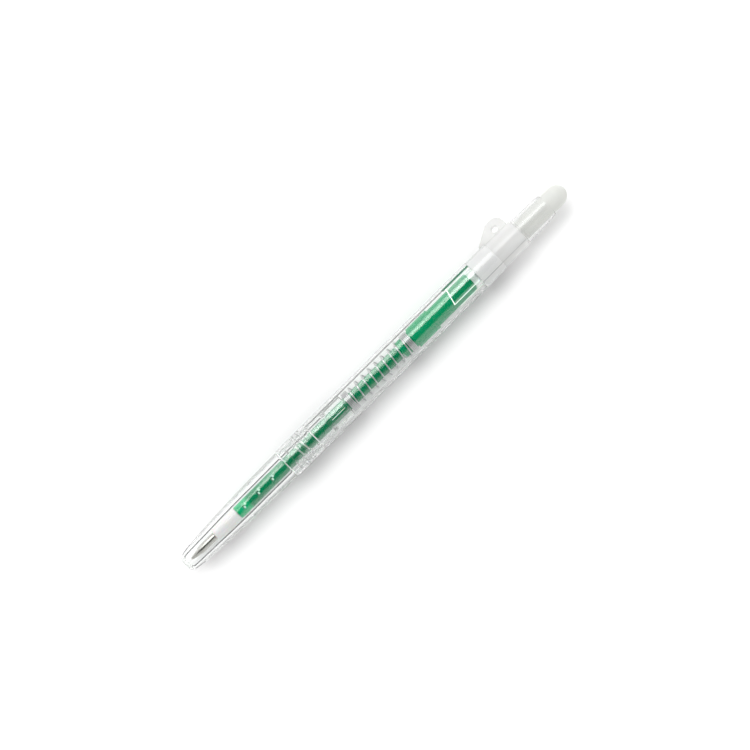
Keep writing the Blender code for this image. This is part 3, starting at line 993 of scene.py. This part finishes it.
def spring(material):
    """The compression spring: left-handed, with closed turns at both ends and open turns between. It is
    squashed towards its front end as the refill advances."""
    start_angle = math.radians(-36.0)
    wire = 0.2
    mean = 2.95
    closed_turns = 4.5
    open_turns = 8.25
    closed_pitch = 0.46
    per_turn = 40
    length = SPRING_END - SPRING_START - 2 * wire
    open_length = length - 2 * closed_turns * closed_pitch
    turns = 2 * closed_turns + open_turns
    count = round(turns * per_turn)
    centers = []
    for i in range(count + 1):
        turn = turns * i / count
        opened = min(max(turn - closed_turns, 0.0), open_turns)
        station = (turn - opened) * closed_pitch + opened * open_length / open_turns
        angle = start_angle - 2 * math.pi * turn
        x = MOUTH_X + (SPRING_START + wire + station) * MM
        y = AXIS.y + mean * math.cos(angle) * MM
        z = AXIS.z + mean * math.sin(angle) * MM
        centers.append(Vector((x, y, z)))
    tangents = []
    for i in range(count + 1):
        tangents.append((centers[min(i + 1, count)] - centers[max(i - 1, 0)]).normalized())
    obj = swept("steel_return_spring", centers, wire * MM, 12, tangents)
    piece(obj, material, "spring", "return_spring")
    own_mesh(obj)
    return obj


def refill_tube(material):
    """The ink tube: narrow in front, wide behind, with the collar that the spring pushes on."""
    outline = rounded(
        [
            (REFILL_START, 1.9), (81.1, 1.9), (81.7, 2.6), (86.6, 2.6), (86.6, 3.2), (94.2, 3.2),
            (94.3, 2.76), (REFILL_END, 2.76), (REFILL_END, 2.3), (82.0, 2.3), (81.2, 1.47),
            (REFILL_START, 1.47),
        ]
    )
    tube = turned("clear_refill_tube", outline)
    return piece(tube, material, "refill", "refill_tube")


def ink(material):
    """The ink, which wets the tube's wall, meets the holder's nozzle in front and ends in a round nose."""
    wetted = 0.012
    nose = quarter_ellipse(108.4, 1.1, 2.3 + wetted, 10)
    outline = [
        (24.3, 0.0), (24.3, 1.14), (19.97, 1.14), (19.97, 1.47 + wetted), (81.25, 1.47 + wetted),
        (82.05, 2.3 + wetted),
    ]
    obj = turned("green_gel_ink", outline + nose, closed=False)
    return piece(obj, material, "refill", "ink_column")


def grease(material):
    """The whitish grease behind the ink, hollowed where the ink's round nose meets it."""
    face = quarter_ellipse(108.75, 1.0, 2.28, 10)[::-1]
    back = [(110.45, 2.28), (110.35, 1.8), (110.2, 1.0), (110.15, 0.0)]
    obj = turned("clear_grease_plug", face + back, closed=False)
    return piece(obj, material, "refill", "ink_follower")


def holder(material):
    """The white plug between the steel tip and the tube."""
    outline = rounded(
        [
            (11.35, 1.55), (11.9, 1.86), (19.7, 1.9), (19.7, 1.42), (19.9, 1.42), (19.95, 1.08),
            (24.1, 1.08), (24.1, 0.6), (14.8, 0.6), (14.8, 1.04), (11.35, 1.04),
        ]
    )
    obj = turned("white_tip_holder", outline, angles=column_angles(96))
    return piece(obj, material, "refill", "tip_holder")


def tip(material):
    """The steel tip: crimped rim, cone, shank, ink channel and the ball's socket."""
    socket_r = 0.27
    ball_station = 2.65
    rim = 2.57
    mouth = math.degrees(math.acos((ball_station - rim) / socket_r))
    socket = arc((ball_station, 0.0), socket_r, 25, 180 - mouth, 8)
    cone = [(rim, 0.33), (rim + 0.12, 0.38), (3.1, 0.47), (3.3, 0.56), (6.2, 1.15), (11.2, 1.15)]
    shank = [(11.2, 1.0), (14.5, 1.0), (14.5, 0.35), (3.4, 0.35)]
    outline = rounded(cone + shank, 0.05, closed=False)
    obj = turned("steel_writing_tip", outline + socket, angles=column_angles(96))
    return piece(obj, material, "refill", "writing_tip")


def ball(material):
    """The ball in the socket."""
    x = (AXIS.x - MOUTH_X) / MM
    radius = widest("writing_ball")
    outline = arc((x, 0.0), radius, 180, 0, 24)
    outline[0] = (x - radius, 0.0)
    outline[-1] = (x + radius, 0.0)
    obj = turned("steel_writing_ball", outline, closed=False, angles=column_angles(48))
    return piece(obj, material, "writing_ball", "writing_ball")


# Stage ------------


def camera():
    """Straight above the pen, which runs from lower left to upper right."""
    data = bpy.data.cameras.new("camera")
    data.sensor_width = 36.0
    height = 0.8
    field = 0.2027
    data.lens = 36.0 * (height - AXIS.z) / field
    data.clip_start = 0.01
    data.clip_end = 20.0
    obj = bpy.data.objects.new("camera", data)
    bpy.context.scene.collection.objects.link(obj)
    obj.location = (0.00025, -0.00151, height)
    obj.rotation_euler = (0.0, 0.0, math.radians(-44.9))
    bpy.context.scene.camera = obj
    return obj


def softbox(name, height, along, across, radiance, mirrored=True):
    """A rectangular light that hangs level above the table. along and across are the angles in degrees
    from straight up, along and across the pen, between which it is seen from the pen. One that isn't
    mirrored gives light without a highlight."""
    low_x, high_x = (height * math.tan(math.radians(a)) for a in along)
    low_y, high_y = (height * math.tan(math.radians(a)) for a in across)
    data = bpy.data.lights.new(name, "AREA")
    data.shape = "RECTANGLE"
    data.size = high_x - low_x
    data.size_y = high_y - low_y
    data.energy = radiance * math.pi * data.size * data.size_y
    obj = bpy.data.objects.new(name, data)
    bpy.context.scene.collection.objects.link(obj)
    obj.location = ((low_x + high_x) / 2, (low_y + high_y) / 2, height)
    obj.visible_camera = False
    obj.visible_glossy = mirrored
    obj.visible_transmission = mirrored
    return obj


def tent():
    """A white light tent: a little brighter on the side of the softboxes, with a dark opening overhead,
    where a camera looks down."""
    world = bpy.data.worlds.new("tent")
    bpy.context.scene.world = world
    world.use_nodes = True
    tree = world.node_tree
    background = tree.nodes["Background"]
    background.inputs["Color"].default_value = (1.0, 1.0, 1.0, 1.0)
    place = add(tree, "ShaderNodeTexCoord")
    split = add(tree, "ShaderNodeSeparateXYZ")
    tree.links.new(place.outputs["Generated"], split.inputs[0])
    wall = mapped(tree, split.outputs[1], 0.3, 0.85, 0.93, 1.1)
    rim_low = math.cos(math.radians(31))
    rim_high = math.cos(math.radians(24))
    opening = mapped(tree, split.outputs[2], rim_low, rim_high, 1.0, 0.01)
    strength = add(tree, "ShaderNodeMath", operation="MULTIPLY")
    tree.links.new(wall, strength.inputs[0])
    tree.links.new(opening, strength.inputs[1])
    tree.links.new(strength.outputs[0], background.inputs["Strength"])
    return world


def table_top():
    """The white table."""
    side = 3.0
    verts = [(-side, -side, 0.0), (side, -side, 0.0), (side, side, 0.0), (-side, side, 0.0)]
    floor = new_object("table_top", verts, [(0, 1, 2, 3)])
    white_values = {"Base_Color": (0.96, 0.96, 0.96, 1.0), "Roughness": 0.6, "Specular_IOR_Level": 0.2}
    floor.data.materials.append(principled("white_table", **white_values)[0])
    return floor


camera()

# A bore's painted shade line is its depth, the two facing values that it lies between, and its colour.
black_line = (0.05, 0.055, 0.05)
front_line = (0.85, 0.19, 0.27, black_line)
rear_line = (0.7, 0.19, 0.245, black_line)
shaded_line = (0.5, 0.2, 0.33, (0.33, 0.33, 0.33))
green_line = (1.0, 0.17, 0.25, (0.02, 0.13, 0.07))
tongue_line = (0.8, 0.29, 0.37, (0.06, 0.2, 0.12))
clear_front = barrel_plastic("clear_front_plastic", 0.6, straight=(0.0, 0.5))
clear_lip = barrel_plastic("clear_lip_plastic", 0.6, straight=(0.6, 0.6), roughness=0.05)
clear_rear = barrel_plastic("clear_rear_plastic", 0.6, straight=(0.0, 0.25))
clear_bore = barrel_plastic("clear_front_bore_plastic", 0.95, 0.3, front_line)
wide_bore = barrel_plastic("clear_rear_bore_plastic", 0.95, rim=rear_line)
green_bore = barrel_plastic("clear_bore_by_tongue_plastic", 0.95, rim=green_line)
shaded_bore = barrel_plastic("clear_shaded_bore_plastic", 0.95, rim=shaded_line)
clear_guide = barrel_plastic("clear_guide_plastic", 0.9)
clear_tongue = barrel_plastic("clear_tongue_plastic", 0.9, rim=tongue_line)
clear_tail = clear_plastic("hazy_tail_plastic", 1.5, 0.18, (0.975, 0.98, 0.975), 0.98, 0.95)
clear_refill = clear_plastic("clear_refill_plastic", 1.49, 0.1, (0.96, 0.98, 0.97), 0.94, 0.85, 0.4)
# Painted light: the grease glows, so that it isn't dark behind the walls in front of it.
grease_painted_glow = milky_plastic("whitish_grease_painted_glow", (0.9, 0.95, 0.91), 0.0, 0.3, 0.0015, painted_glow=0.35)
# Painted light: a glowing greenish white for bright edges, crests and glints.
painted_light_color = (0.86, 0.95, 0.9)
painted_light_edge = white_plastic("painted_light_edge_plastic", painted_light_color, 0.45)
painted_light_thin = white_plastic("thin_painted_light_plastic", painted_light_color, 0.2, (0.55, 0.75))
painted_glint = white_plastic("painted_glint_plastic", (0.7, 0.95, 0.82), 0.2, (0.35, 0.35))
milky = milky_plastic("milky_polypropylene", (0.91, 0.91, 0.89), 0.25, 0.14, 0.004, shine=0.9)
# Painted light: a lighter, faintly glowing copy of the milky plastic for the seat.
seat_painted_light = milky_plastic("milky_seat_painted_light_polypropylene", (0.97, 0.97, 0.95), 0.1, 0.2, 0.004, 1.0, painted_glow=0.12)
milky_matt = milky_plastic("matt_milky_polypropylene", (0.7, 0.71, 0.68), 0.2, 0.55, 0.004, 0.7)
milky_thin = milky_plastic("thin_milky_polypropylene", (0.8, 0.8, 0.785), 0.45, 0.22, 0.004, 1.0)
# Painted shade: a dark grey line on the sleeve.
milky_shade_line = milky_plastic("milky_painted_shade_line", (0.5, 0.51, 0.5), 0.2, 0.3, 0.001)
white = white_plastic("white_moulded_plastic", (0.76, 0.76, 0.755))
green = gel_ink("green_gel_ink")
steel = turned_steel("turned_stainless_steel", (0.55, 0.54, 0.51), 0.2, 3000.0, 0.00002)
wire_steel = turned_steel("drawn_spring_steel", (0.6, 0.6, 0.61), 0.3, 2000.0, 0.000006)

front_barrel(clear_front, clear_bore, shaded_bore, clear_lip, painted_light_edge, painted_light_thin, painted_glint)
rear_barrel(clear_rear, wide_bore, painted_light_thin, green_bore, shaded_bore)
lug_sleeve(milky, seat_painted_light, milky_thin, milky_shade_line)
cam_guide_tube(clear_guide, painted_light_edge, clear_tongue, clear_tail)
knob(milky_matt)
plunger(milky)
rotor(white)
spring(wire_steel)
refill_tube(clear_refill)
ink(green)
grease(grease_painted_glow)
holder(white)
tip(steel)
ball(steel)

softbox("key", 2.0, (-7.0, 37.0), (19.0, 46.0), 3.0)
softbox("veil", 2.0, (-25.0, 25.0), (30.0, 57.0), 3.9, False)
tent()
table_top()

scene = bpy.context.scene
scene.view_settings.view_transform = "Standard"
scene.cycles.max_bounces = 40
scene.cycles.transmission_bounces = 40
scene.cycles.glossy_bounces = 12
scene.cycles.transparent_max_bounces = 40
